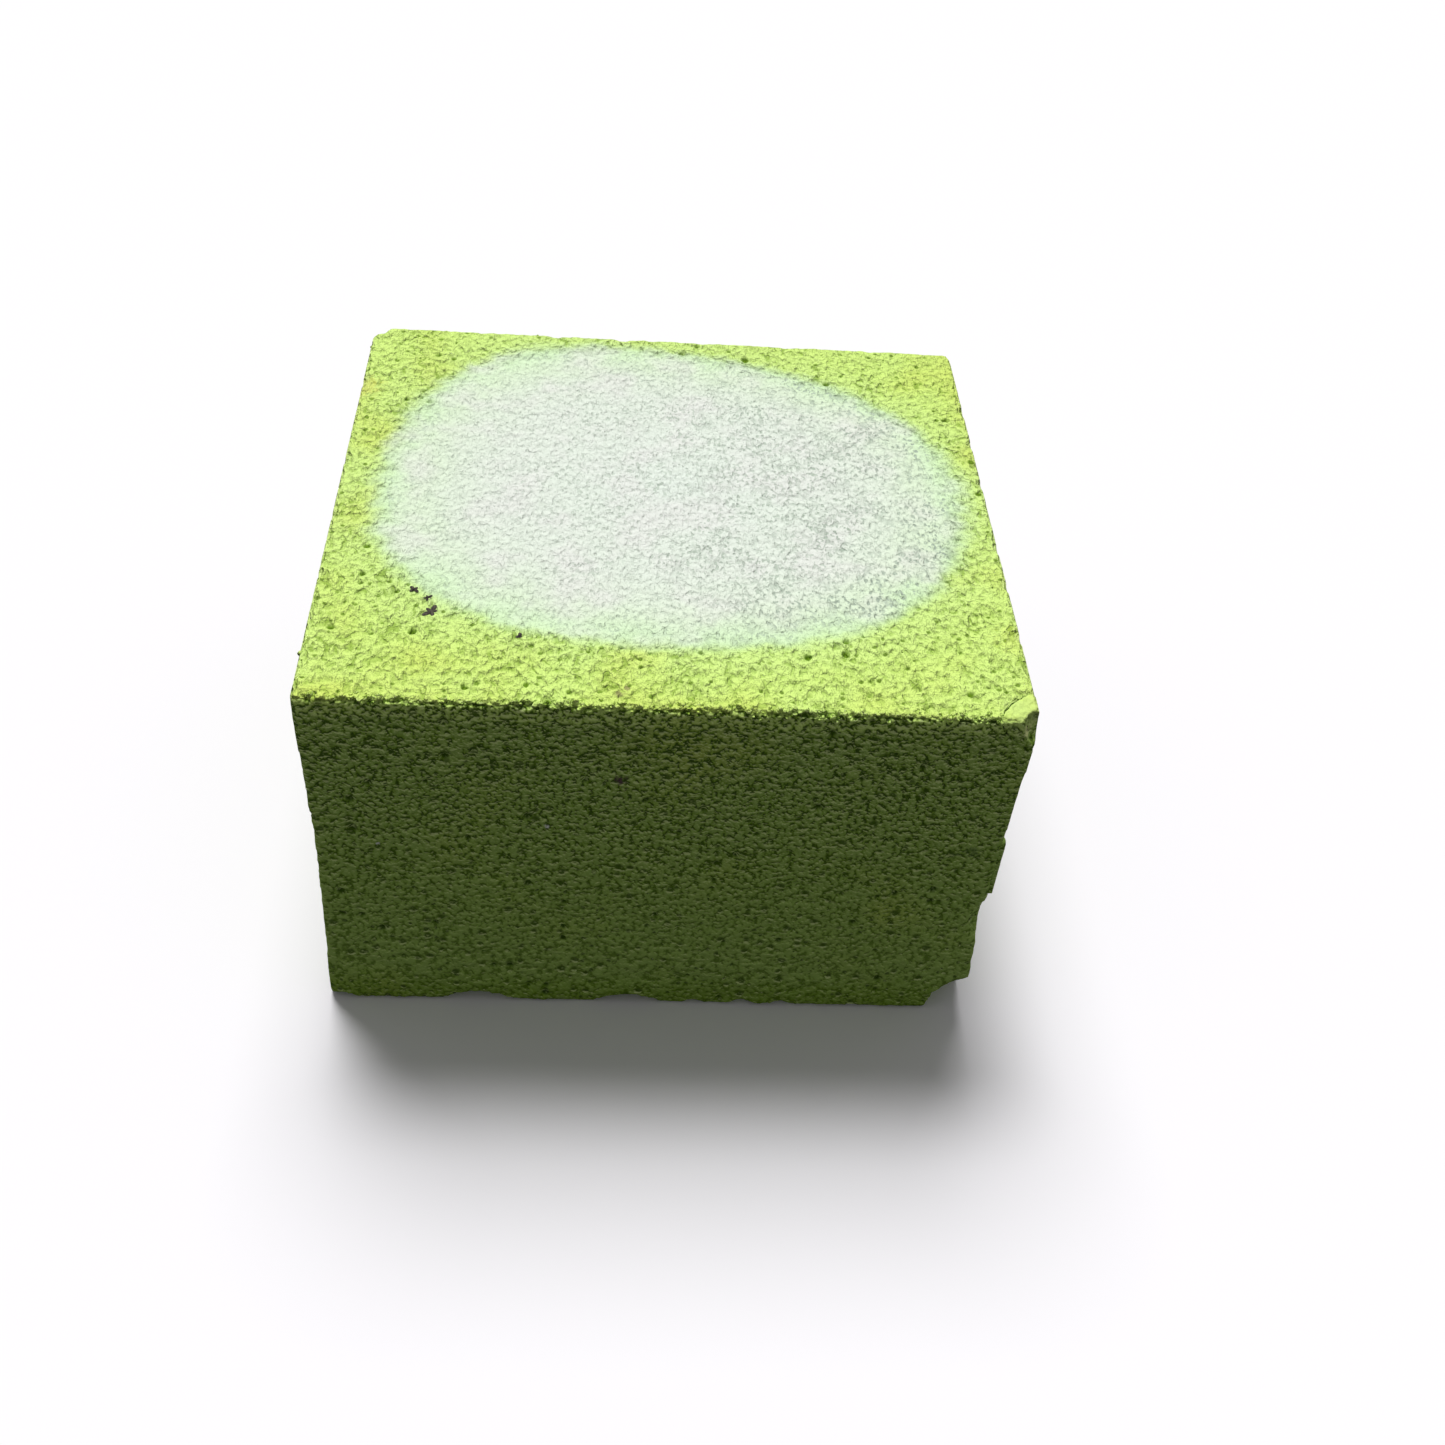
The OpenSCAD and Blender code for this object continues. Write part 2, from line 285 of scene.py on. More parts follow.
def build_skin_tree():
    tree, given, result = new_tree("rough_chalk_skin", "GeometryNodeTree", [
        ("Geometry", GEOMETRY, None),
        ("Pore Depth", NUMBER, 0.3 * MM),
        ("Lump Size", NUMBER, 1.1 * MM),
        ("Lump Height", NUMBER, 0.45 * MM),
        ("Swell Height", NUMBER, 0.3 * MM),
        ("Lobe Height", NUMBER, 0.35 * MM),
        ("Hollow Depth", NUMBER, 0.3 * MM),
        ("Highest", NUMBER, 0.12 * MM),
        ("Rim Crumble", NUMBER, 0.4 * MM),
        ("Rim Width", NUMBER, 0.5 * MM),
        ("Calm Width", NUMBER, 2.0 * MM),
        ("Fill Waist", NUMBER, 0.2 * MM),
        ("Grow", NUMBER, 0.0),
        ("Half Size", PLACE, (half_width, half_depth, height / 2)),
        ("Material", "NodeSocketMaterial", None),
    ], [("Geometry", GEOMETRY, None)])
    r = Recipe(tree)
    place = r.add("GeometryNodeInputPosition", {}).outputs[0]
    normal = r.add("GeometryNodeInputNormal", {}).outputs[0]

    _, y, z = r.split(place)
    on_top = r.fade(z, height - 0.3 * MM, height - 0.1 * MM)

    # Pores, lumps and swells, with lobes on the top and hollows on the sides
    small_pits = r.maths("MULTIPLY", pores(r, place, PIT_CELL, PIT_LARGEST, PIT_SPARSE), 0.5)
    pit = r.maths("MAXIMUM", pores(r, place, PORE_CELL, PORE_LARGEST, PORE_SPARSE), small_pits)
    lump_scale = r.maths("DIVIDE", 1.0, given["Lump Size"])
    lump = r.add("ShaderNodeTexNoise", {"Vector": place, "Scale": lump_scale, "Detail": 1.5}).outputs[0]
    swell = r.maths("SUBTRACT", r.noise(place, 9 * MM, 1.0), 0.55)
    lobe = r.maths("SUBTRACT", leather(r, r.vector("MULTIPLY", place, TOP_SQUEEZE)), 0.5)
    lobe = r.maths("MULTIPLY", lobe, given["Lobe Height"])
    hollow = r.maths("SUBTRACT", sponge(r, place), 0.5)
    hollow = r.maths("MULTIPLY", hollow, given["Hollow Depth"])
    rise = r.maths("MULTIPLY", r.maths("SUBTRACT", lump, 0.5), given["Lump Height"])
    rise = r.maths("ADD", rise, r.maths("MULTIPLY", swell, given["Swell Height"]))
    rise = r.maths("SUBTRACT", rise, r.maths("MULTIPLY", pit, given["Pore Depth"]))
    rise = r.maths("ADD", rise, r.mix(on_top, hollow, lobe))

    # How far each point is from the sides, from the front or back, and from the top
    middle = r.vector("SUBTRACT", place, (0, 0, height / 2))
    depth = r.split(r.vector("SUBTRACT", given["Half Size"], r.vector("ABSOLUTE", middle, (0, 0, 0))))
    near = [r.fade(axis, 0.0, given["Rim Width"], 1.0, 0.0) for axis in depth]
    wide = [r.fade(axis, 0.0, given["Calm Width"], 1.0, 0.0) for axis in depth]

    # The upright edges, the sides and the back rim are calm
    at_upright = r.maths("MULTIPLY", r.maths("MULTIPLY", wide[0], wide[1]), 0.85)
    at_side = r.maths("MULTIPLY", wide[0], r.fade(depth[2], 3 * MM, 10 * MM, 0.9, 0.4))
    behind = r.maths("MULTIPLY", r.maths("GREATER_THAN", y, 0.0), 0.8)
    at_back = r.maths("MULTIPLY", r.maths("MULTIPLY", wide[1], wide[2]), behind)
    calm = r.maths("MAXIMUM", r.maths("MAXIMUM", at_upright, at_side), at_back)
    rise = r.maths("MULTIPLY", rise, r.maths("SUBTRACT", 1.0, calm))

    # The rims of the top crumble inwards, most of all the front one
    crumble = r.fade(r.noise(place, 0.5 * MM, 1.0, 5.0), 0.42, 0.6)
    front_most = r.fade(y, 0.5 * MM - half_depth, 1.5 * MM - half_depth, 1.0, 0.25)
    top_rim = r.maths("MULTIPLY", near[2], r.maths("MAXIMUM", near[0], near[1]))
    top_rim = r.maths("MULTIPLY", top_rim, front_most)
    corner = r.maths("MULTIPLY", r.maths("MULTIPLY", near[0], near[1]), 0.15)
    fall = r.maths("MULTIPLY", crumble, r.maths("MAXIMUM", corner, top_rim))
    fall = r.maths("MULTIPLY", fall, given["Rim Crumble"])
    rise = r.maths("MINIMUM", r.maths("SUBTRACT", rise, fall), given["Highest"])

    # The waist of the CAD sides is filled a little, most of all at half height
    level = r.maths("DIVIDE", r.maths("SUBTRACT", z, height / 2), height / 2)
    arch = r.maths("MAXIMUM", r.maths("SUBTRACT", 1.0, r.maths("MULTIPLY", level, level)), 0.0)
    filling = r.maths("MULTIPLY", arch, given["Fill Waist"])
    rise = r.maths("ADD", rise, r.maths("ADD", filling, given["Grow"]))

    # Nothing moves on the base, and the bed of the patch is smooth and a little lower
    rise = r.maths("MULTIPLY", rise, r.fade(z, 0.05 * MM, 0.4 * MM))
    bed = r.maths("MULTIPLY", on_top, r.fade(patch_reach(r, place), BED_END, BED_START))
    rise = r.maths("MULTIPLY", rise, r.maths("SUBTRACT", 1.0, bed))
    rise = r.maths("SUBTRACT", rise, r.maths("MULTIPLY", bed, 0.1 * MM))

    kept = r.add("GeometryNodeStoreNamedAttribute", {
        "Geometry": given["Geometry"], "Name": "pressed_place", "Value": place,
    }, data_type="FLOAT_VECTOR", domain="POINT").outputs[0]
    moved = r.add("GeometryNodeSetPosition", {
        "Geometry": kept, "Offset": r.vector("SCALE", normal, None, rise),
    }).outputs[0]
    real = r.add("GeometryNodeRealizeInstances", {0: moved}).outputs[0]
    done = r.add("GeometryNodeSetMaterial", {0: real, "Material": given["Material"]}).outputs[0]
    tree.links.new(done, result["Geometry"])
    return tree


skin_tree = build_skin_tree()
print("skin tree:", len(skin_tree.nodes), "nodes")


# %% Ways to copy a CAD piece and to apply what is done to it
def merged_copy(node, name):
    """A copy of a CAD piece with its loose triangles joined into one closed mesh."""
    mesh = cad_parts[node].data.copy()
    mesh.materials.clear()
    work = bmesh.new()
    work.from_mesh(mesh)
    bmesh.ops.remove_doubles(work, verts=work.verts, dist=0.001 * MM)
    bmesh.ops.recalc_face_normals(work, faces=work.faces)
    work.to_mesh(mesh)
    work.free()
    piece = bpy.data.objects.new(name, mesh)
    scene.collection.objects.link(piece)
    return piece


def apply_modifiers(piece):
    """Turns what the modifiers make into the piece's own plain mesh."""
    graph = bpy.context.evaluated_depsgraph_get()
    mesh = bpy.data.meshes.new_from_object(
        piece.evaluated_get(graph), preserve_all_data_layers=True, depsgraph=graph
    )
    piece.modifiers.clear()
    piece.data = mesh
    mesh.shade_smooth()


def voxel_remesh(piece, size):
    """Gives the piece an even net of squares of that size."""
    remesh = piece.modifiers.new("remesh", "REMESH")
    remesh.mode = "VOXEL"
    remesh.voxel_size = size
    apply_modifiers(piece)


def run_tree(piece, tree, **values):
    """Applies a Geometry Nodes tree, with values for its inputs by name."""
    modifier = piece.modifiers.new(tree.name, "NODES")
    modifier.node_group = tree
    for item in tree.interface.items_tree:
        label = item.name.replace(" ", "_").lower()
        if item.in_out == "INPUT" and label in values:
            modifier[item.identifier] = values[label]
    apply_modifiers(piece)


def thin_out(piece, triangles):
    """Leaves about that many triangles, most of them where the form turns."""
    count = sum(len(face.vertices) - 2 for face in piece.data.polygons)
    if count > triangles:
        thin = piece.modifiers.new("thin", "DECIMATE")
        thin.ratio = triangles / count
        apply_modifiers(piece)
    print(piece.name, "has", sum(len(f.vertices) - 2 for f in piece.data.polygons), "triangles")


# %% [markdown]
# ## Dye, painted shade and painted highlights
#
# Dyed chalk is dead matt, so all its character is in the colour. Pores
# and creases are painted darker, as painted shade for the light that is
# lost in them. The dye itself is a little uneven. One group works out the
# fine relief and the painted shade for every chalk surface, a second one
# knows where the white patch is, so that the cake and the patch agree
# along its soft edge, and a third adds the marks of use and a few painted
# shadows and highlights.


# %% Colours
def srgb(red, green, blue):
    """A colour as it looks on screen, 0 to 255, in the linear values that shaders use."""
    def linear(value):
        value /= 255
        return value / 12.92 if value <= 0.04045 else ((value + 0.055) / 1.055) ** 2.4
    return (linear(red), linear(green), linear(blue), 1.0)


WARM_GREEN = srgb(216, 228, 92)
# Painted highlight for ledges that face up
LEDGE_HIGHLIGHT_GREEN = srgb(232, 250, 168)
# Painted shade: hollows, creases and down-facing faces are mixed towards this green
SHADE_GREEN = srgb(128, 166, 38)
# Painted shade in pores and sponge holes
PIT_SHADE_GREEN = srgb(64, 92, 18)
ROSY_WHITE = srgb(236, 234, 231)
SHADED_WHITE = srgb(170, 186, 168)
GRIT_BLACK = srgb(48, 42, 40)
GRIT_GREY = srgb(88, 82, 70)
print("green in a pore:", [round(part, 3) for part in PIT_SHADE_GREEN[:3]])


# %% The fine relief and shade of chalk, as a shader group
def build_relief_group():
    """Height is in millimetres. Shade is 1 where shade is painted into a hollow, and Pit is 1 where a pore
    or a sponge hole is painted darkest.
    """
    tree, given, result = new_tree("chalk_relief", "ShaderNodeTree", [
        ("Place", PLACE, None),
        ("Whiteness", NUMBER, 0.0),
    ], [(name, NUMBER, None) for name in ("Height", "Shade", "Pit", "Patchiness")])
    r = Recipe(tree)
    place, white = given["Place"], given["Whiteness"]
    x, y, z = r.split(place)

    # The top ends sharply at the front rim, and goes on round the other rims
    round_rim = r.fade(y, 1 * MM - half_depth, 2.5 * MM - half_depth, 0.0, 0.9 * MM)
    on_top = r.fade(r.maths("ADD", z, round_rim), height - 0.35 * MM, height - 0.05 * MM)
    stretched = r.vector("MULTIPLY", place, TOP_SQUEEZE)

    big = pores(r, place, PORE_CELL, PORE_LARGEST, PORE_SPARSE)
    small = pores(r, place, PIT_CELL, PIT_LARGEST, PIT_SPARSE)
    pit = r.maths("MAXIMUM", big, r.maths("MULTIPLY", small, 0.8))
    grain = r.maths("SUBTRACT", r.noise(stretched, 0.28 * MM, 2.0), 0.5)

    # The top: soft lobes with hollows between them, and a few creases that come and go; hollows and
    # creases get painted shade
    lobe = leather(r, stretched)
    sharp = r.fade(r.noise(place, 1.6 * MM, 1.0, 2.0), 0.4, 0.6, 0.5, 1.0)
    sharp = r.maths("MULTIPLY", sharp, r.fade(y, -half_depth, half_depth, 1.1, 0.7))
    crease = r.maths("MULTIPLY", creases(r, stretched, 1.4 * MM, 0.11 * MM, 0.5), r.fade(lobe, 0.58, 0.45))
    top_height = r.maths("ADD", r.maths("MULTIPLY", lobe, 0.8), r.maths("MULTIPLY", grain, 0.2))
    top_height = r.maths("SUBTRACT", top_height, r.maths("MULTIPLY", crease, 0.05))
    low = r.maths("MULTIPLY", r.maths("MULTIPLY", r.fade(lobe, 0.5, 0.36), sharp), 0.42)
    top_shade = r.maths("MAXIMUM", r.maths("MAXIMUM", low, r.maths("MULTIPLY", crease, 0.7)), pit)

    # The patch: powder has filled the creases and left soft spots, more of them to the right; spots and
    # wrinkles get painted shade
    spots = r.fade(r.noise(stretched, SPOT_SIZE, 1.0, 6.0), 0.47, 0.3)
    dots = pores(r, stretched, 0.55 * MM, 0.22 * MM, 0.3, 2.0)
    spots = r.maths("MAXIMUM", spots, r.maths("MULTIPLY", dots, 0.8))
    bare = r.maths("MULTIPLY", r.fade(x, -16 * MM, 22 * MM, 0.45, 1.0),
                   r.fade(r.noise(place, 5 * MM, 2.0, 8.0), 0.35, 0.65, 0.6, 1.3))
    wrinkle = r.maths("MAXIMUM", crease, creases(r, stretched, 1.3 * MM, 0.08 * MM, 0.52, 3.3))
    wrinkle = r.maths("MULTIPLY", wrinkle, r.fade(x, -10 * MM, 10 * MM, 0.3, 1.0))
    patch_height = r.maths("ADD", r.maths("MULTIPLY", grain, 0.15), r.maths("MULTIPLY", lobe, 0.4))
    patch_height = r.maths("SUBTRACT", patch_height, r.maths("MULTIPLY", spots, 0.05))
    patch_height = r.maths("SUBTRACT", patch_height, r.maths("MULTIPLY", wrinkle, 0.05))
    patch_shade = r.maths("MAXIMUM", r.maths("MULTIPLY", spots, 0.75), r.maths("MULTIPLY", wrinkle, 0.5))
    patch_shade = r.maths("MULTIPLY", patch_shade, bare)

    # The sides: a sponge, with painted shade in its hollows and holes, stronger higher up; the colour also
    # gets darker towards the base
    wall = sponge(r, place)
    boldness = r.fade(z, 0.1 * height, height, 0.6, 1.5)
    side_height = r.maths("MULTIPLY", r.maths("MULTIPLY", wall, 0.3), boldness)
    side_shade = r.maths("MULTIPLY", r.fade(wall, 0.6, 0.36), boldness)
    side_shade = r.maths("ADD", side_shade, r.fade(z, 5 * MM, 0.5 * MM, 0.0, 0.6))
    holes = pores(r, place, 1.1 * MM, 0.5 * MM, 0.3, 11.0)
    side_height = r.maths("SUBTRACT", side_height, r.maths("MULTIPLY", holes, 0.1))
    side_pit = r.maths("MULTIPLY", r.maths("MULTIPLY", r.fade(wall, 0.5, 0.38), boldness), 0.8)
    side_pit = r.maths("MAXIMUM", r.maths("MAXIMUM", pit, side_pit), r.maths("MULTIPLY", holes, 0.85))

    # The dye varies over many millimetres, and is warmer along the front and right rims
    edge = r.maths("MAXIMUM", r.fade(x, half_width - 3.5 * MM, half_width),
                   r.fade(y, 3 * MM - half_depth, -half_depth))
    patchiness = r.maths("ADD", r.noise(place, 11 * MM, 2.0, 4.0), r.maths("MULTIPLY", edge, 0.12))
    patchiness = r.maths("MULTIPLY", patchiness, r.fade(on_top, 0.0, 1.0, 0.8, 1.0))

    link = tree.links.new
    link(r.mix(on_top, side_height, r.mix(white, top_height, patch_height)), result["Height"])
    link(r.mix(on_top, side_shade, r.mix(white, top_shade, patch_shade)), result["Shade"])
    top_pit = r.maths("MULTIPLY", pit, r.mix(white, 0.4, 0.1))
    link(r.mix(on_top, side_pit, top_pit), result["Pit"])
    link(patchiness, result["Patchiness"])
    return tree

relief_group = build_relief_group()
print("relief group:", len(relief_group.nodes), "nodes")

# %% [markdown]
# ## The colour of the patch
#
# From its middle outwards, the rubbed chalk goes from a cool white to a
# pale mint and then, within a millimetre or so, to the dye. A colour ramp
# holds those steps and reads the patch's reach, made a little ragged by
# noise. Below the top the reach is pushed on to its end, which is a
# darker green: painted shade for the sides.

# %% The white patch, as a shader group
PATCH_STEPS = (
    # the reach at which each colour stands, and the colour
    (0.00, srgb(231, 240, 229)),
    (0.60, srgb(231, 240, 226)),
    (0.75, srgb(229, 241, 221)),
    (0.87, srgb(225, 243, 211)),
    (0.93, srgb(221, 245, 204)),
    (0.98, srgb(217, 245, 192)),
    (1.02, srgb(218, 248, 162)),
    (1.05, srgb(219, 249, 146)),
    (1.20, srgb(219, 249, 137)),
    (1.75, srgb(219, 249, 137)),
    # the last step: the dye darkened, painted shade for the sides
    (2.00, srgb(170, 202, 104)),
)
PATCH_FURTHEST = 2.0


def build_patch_group():
    tree, given, result = new_tree("white_patch", "ShaderNodeTree", [
        ("Place", PLACE, None),
    ], [("Whiteness", NUMBER, None), ("Colour", COLOUR, None)])
    r = Recipe(tree)
    ragged = r.maths("SUBTRACT", r.noise(given["Place"], 2.5 * MM, 3.0), 0.5)
    reach = r.maths("ADD", patch_reach(r, given["Place"]), r.maths("MULTIPLY", ragged, 0.09))
    z = r.split(given["Place"])[2]
    # Below the top the colour moves on to the painted shade of the sides
    reach = r.maths("ADD", reach, r.fade(z, height - 2.5 * MM, height - 0.9 * MM, 1.0, 0.0))

    ramp = r.add("ShaderNodeValToRGB", {0: r.maths("DIVIDE", reach, PATCH_FURTHEST)})
    steps = ramp.color_ramp.elements
    while len(steps) < len(PATCH_STEPS):
        steps.new(0.5)
    for step, (position, colour) in zip(steps, PATCH_STEPS):
        step.position = position / PATCH_FURTHEST
        step.color = colour
    tree.links.new(r.fade(reach, 1.04, 0.94), result["Whiteness"])
    tree.links.new(ramp.outputs["Color"], result["Colour"])
    return tree


patch_group = build_patch_group()
print("colour steps from the middle of the patch to the sides:", len(PATCH_STEPS))

# %% [markdown]
# ## Stains, painted shadows and painted highlights
#
# A used block has marks of its own: a smudge on the front, two brown
# specks, pale dots, and a warm cast here and there along the rims. Some
# marks here are painted light instead: two dark green dots are painted
# shade in pores of the top, a painted shadow darkens the hollow beside the
# lifting side flake, and a painted highlight stands for the lit face under
# the corner bite. They are colour and not pieces. Each is a small ball in
# space, and chalk inside it takes on some of the mark's colour. Noise
# makes the ball's edge uneven, so that no mark looks round.

# %% Stains and painted light, as a shader group
SMUDGE = srgb(96, 72, 78)
# Painted shadow for the hollow beside the lifting side flake
HOLLOW_SHADOW_GREEN = srgb(84, 112, 50)
# Painted shade for two pores on the top
PORE_SHADE_GREEN = srgb(104, 136, 40)
DOT_WHITE = srgb(255, 255, 250)
STAINS_AND_PAINTED_LIGHT = (
    # where it lies and its radius, in mm, its colour, and how strong it is
    ((-3.5, -26.0, 27.4), 0.75, SMUDGE, 0.9),
    ((-3.2, -26.0, 26.4), 0.45, SMUDGE, 0.8),
    ((-3.9, -24.5, 35.0), 0.45, srgb(140, 128, 92), 0.75),
    ((-3.3, -23.8, 35.0), 0.35, srgb(150, 134, 100), 0.7),
    ((-9.1, -25.7, 22.0), 0.3, DOT_WHITE, 1.0),
    ((-22.2, -25.7, 19.5), 0.27, DOT_WHITE, 1.0),
    # painted shade in two pores of the top
    ((-11.6, -18.5, 35.0), 0.3, PORE_SHADE_GREEN, 0.8),
    ((-9.5, -18.7, 35.0), 0.28, PORE_SHADE_GREEN, 0.8),
    ((-27.4, 15.6, 35.0), 2.2, srgb(232, 206, 96), 0.3),
    ((27.3, -16.7, 35.0), 2.6, srgb(236, 236, 90), 0.12),
    ((26.4, -24.8, 35.0), 2.2, srgb(206, 230, 138), 0.5),
    # painted highlight: the lit face under the corner bite
    ((26.9, -25.7, 33.8), 0.8, srgb(250, 255, 180), 0.9),
    # painted shadow in the hollow beside the lifting side flake
    ((24.9, -26.0, 20.3), 1.0, HOLLOW_SHADOW_GREEN, 0.7),
    ((23.6, -26.0, 19.9), 0.8, HOLLOW_SHADOW_GREEN, 0.6),
)


def build_stain_and_light_group():
    """How much of the colour at each place is a mark of use or painted light, and which colour it has."""
    tree, given, result = new_tree("stains_and_painted_light", "ShaderNodeTree", [
        ("Place", PLACE, None),
        ("Colour", COLOUR, None),
    ], [("Colour", COLOUR, None)])
    r = Recipe(tree)
    uneven = r.maths("SUBTRACT", r.noise(given["Place"], 0.35 * MM, 2.0, 9.0), 0.5)
    colour = given["Colour"]
    for middle, radius, mark_colour, strength in STAINS_AND_PAINTED_LIGHT:
        wires = {0: given["Place"], 1: tuple(Vector(middle) * MM)}
        away = r.add("ShaderNodeVectorMath", wires, operation="DISTANCE").outputs["Value"]
        away = r.maths("ADD", away, r.maths("MULTIPLY", uneven, radius * 1.6 * MM))
        share = r.fade(away, radius * MM, radius * 0.4 * MM, 0.0, strength)
        colour = r.blend(share, colour, mark_colour)
    tree.links.new(colour, result["Colour"])
    return tree


stain_and_light_group = build_stain_and_light_group()
print("stains:", len(STAINS_AND_PAINTED_LIGHT))

# %% [markdown]
# ## The chalk materials
#
# All chalk here shares one recipe. The patch group gives the colour, the
# relief group paints shade into its hollows and bumps the surface, and the
# marks of use, painted shadows and painted highlights come last. Where the
# bump leans up more than the surface does, as on the ledges of a side, the
# colour is paler, a painted highlight, and where it leans down there it is
# darker, painted shade. Pieces that were cut from the cake read the place
# stored before their points were moved. The crumbs have no such place, and
# read Object coordinates. A fresh break is smoother, so it keeps less of
# the relief.

# %% The chalk materials
def new_material(name, roughness):
    material = bpy.data.materials.new(name)
    material.use_nodes = True
    shader = material.node_tree.nodes["Principled BSDF"]
    shader.inputs["Roughness"].default_value = roughness
    shader.inputs["Specular IOR Level"].default_value = 0.15
    return material, Recipe(material.node_tree), shader


def chalk_material(name, from_attribute=True, relief_left=1.0):
    """relief_left is how much relief and shade faces that look up keep: less on a smooth break."""
    material, r, shader = new_material(name, 0.95)
    if from_attribute:
        place = r.add("ShaderNodeAttribute", {}, attribute_name="pressed_place").outputs["Vector"]
    else:
        place = r.add("ShaderNodeTexCoord", {}).outputs["Object"]
    patch = r.add("ShaderNodeGroup", {"Place": place}, node_tree=patch_group).outputs
    white = patch["Whiteness"]
    wires = {"Place": place, "Whiteness": white}
    relief = r.add("ShaderNodeGroup", wires, node_tree=relief_group).outputs

    # The dye with its warm parts, the white with its rosy parts, and both in shade
    warm = r.fade(relief["Patchiness"], 0.5, 0.8, 0.0, 0.5)
    warm = r.maths("MULTIPLY", warm, r.maths("SUBTRACT", 1.0, white))
    rosy = r.fade(r.noise(place, 5 * MM, 2.0, 12.0), 0.42, 0.68, 0.0, 0.5)
    rosy = r.maths("MULTIPLY", rosy, white)
    dyed = r.blend(rosy, r.blend(warm, patch["Colour"], WARM_GREEN), ROSY_WHITE)
    shade_colour = r.blend(white, SHADE_GREEN, SHADED_WHITE)

    flat_lit = r.split(r.add("ShaderNodeNewGeometry", {}).outputs["Normal"])[2]
    kept = r.fade(flat_lit, 0.5, 0.9, 1.0, relief_left)
    # Painted shade: hollows and creases take the shade colour, pores the darkest green
    colour = r.blend(r.maths("MULTIPLY", relief["Shade"], kept), dyed, shade_colour)
    colour = r.blend(r.maths("MULTIPLY", relief["Pit"], kept), colour, PIT_SHADE_GREEN)
    wires = {"Height": r.maths("MULTIPLY", relief["Height"], kept), "Distance": 1 * MM}
    bump = r.add("ShaderNodeBump", wires).outputs[0]

    # Painted highlight and painted shade: what faces up, such as the small ledges on the sides, is paler,
    # and what faces down on the sides is darker
    upward = r.split(bump)[2]
    ledge_highlight = r.fade(r.maths("SUBTRACT", upward, flat_lit), 0.0, 0.5, 0.0, 0.8)
    colour = r.blend(ledge_highlight, colour, LEDGE_HIGHLIGHT_GREEN)
    underside = r.fade(r.maths("SUBTRACT", flat_lit, upward), 0.0, 0.5, 0.0, 0.15)
    underside = r.maths("MULTIPLY", underside, r.fade(flat_lit, 0.3, 0.8, 1.0, 0.0))
    colour = r.blend(underside, colour, SHADE_GREEN)
    marked = r.add("ShaderNodeGroup", {"Place": place, "Colour": colour}, node_tree=stain_and_light_group)
    link = material.node_tree.links.new
    link(marked.outputs["Colour"], shader.inputs["Base Color"])
    link(bump, shader.inputs["Normal"])
    return material


green_chalk = chalk_material("dyed_green_chalk")
white_chalk = chalk_material("rubbed_white_chalk")
crumb_chalk = chalk_material("loose_crumb_chalk", from_attribute=False)
broken_chalk = chalk_material("smooth_broken_chalk", relief_left=0.4)
print("materials:", [chalk.name for chalk in (green_chalk, white_chalk, crumb_chalk, broken_chalk)])

# %% [markdown]
# ## The cake
#
# The remesh is finer than the finished piece needs, because the pores
# have to be cut before the net is thinned. Thinning then keeps the
# triangles where the form turns: in pores, lumps and broken rims.

# %% Roughen the cake
FINE = 0.22 * MM
CAKE_TRIANGLES = 185000

cake = merged_copy("chalk_block", "pressed_cake")
voxel_remesh(cake, FINE)
run_tree(cake, skin_tree, material=green_chalk)
thin_out(cake, CAKE_TRIANGLES)
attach(cake, "root")
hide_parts("chalk_block")

# %% [markdown]
# ## The two flakes
#
# A flake has split off the front corner of the top and still lies in its
# break, and a thin leaf is lifting off the right side. Both are small,
# so they get a finer net, and a calmer skin that never swells into the
# crack beside them. The corner flake has lost its own tip, which a Boolean
# modifier bites off with an egg-shaped solid.

# %% Roughen the flakes
FLAKE_FINE = 0.14 * MM
BITE_MIDDLE = Vector((half_width, -half_depth, height)) + Vector((0.1, -0.1, -0.1)) * MM
BITE_REACH = Vector((1.4, 1.4, 2.5)) * MM
CORNER_TRIANGLES = 16000
SIDE_TRIANGLES = 8000


def bite(piece, middle, reach):
    """Takes an egg-shaped bite out of the piece: its middle and its reach along x, y and z."""
    work = bmesh.new()
    bmesh.ops.create_icosphere(work, subdivisions=4, radius=1.0)
    bmesh.ops.scale(work, verts=work.verts, vec=reach)
    bmesh.ops.translate(work, verts=work.verts, vec=middle)
    egg = bpy.data.objects.new("bite", bpy.data.meshes.new("bite"))
    work.to_mesh(egg.data)
    work.free()
    scene.collection.objects.link(egg)
    cut = piece.modifiers.new("bite", "BOOLEAN")
    cut.operation = "DIFFERENCE"
    cut.object = egg
    apply_modifiers(piece)
    bpy.data.objects.remove(egg)


def add_flake(node, name, triangles, bitten=False):
    flake = merged_copy(node, name)
    if bitten:
        bite(flake, BITE_MIDDLE, BITE_REACH)
    voxel_remesh(flake, FLAKE_FINE)
    run_tree(flake, skin_tree, material=broken_chalk, lump_height=0.15 * MM, swell_height=0.0,
             highest=0.0, pore_depth=0.06 * MM, rim_crumble=0.15 * MM, lobe_height=0.12 * MM,
             fill_waist=0.0, grow=0.03 * MM)
    thin_out(flake, triangles)
    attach(flake, "root")
    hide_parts(node)


add_flake("corner_flake", "split_corner_flake", CORNER_TRIANGLES, bitten=True)
add_flake("side_flake", "lifting_side_flake", SIDE_TRIANGLES)

# %% [markdown]
# ## The white patch
#
# White chalk was rubbed on until it made a thin coat of its own. Its
# shape follows a rule, so a tree makes it from nothing: a square grid is
# squeezed into a disc, stretched to the oval, and raised to the top of
# the cake. A second grid makes its underside. The coat gets thinner
# towards its edge and dives under the green skin there, so its rim is
# never a hard line.

# %% A tree that makes the coat
COAT_CELLS = 260
COAT_TRIANGLES = 150000
DIMPLE_DEPTH = 0.15 * MM


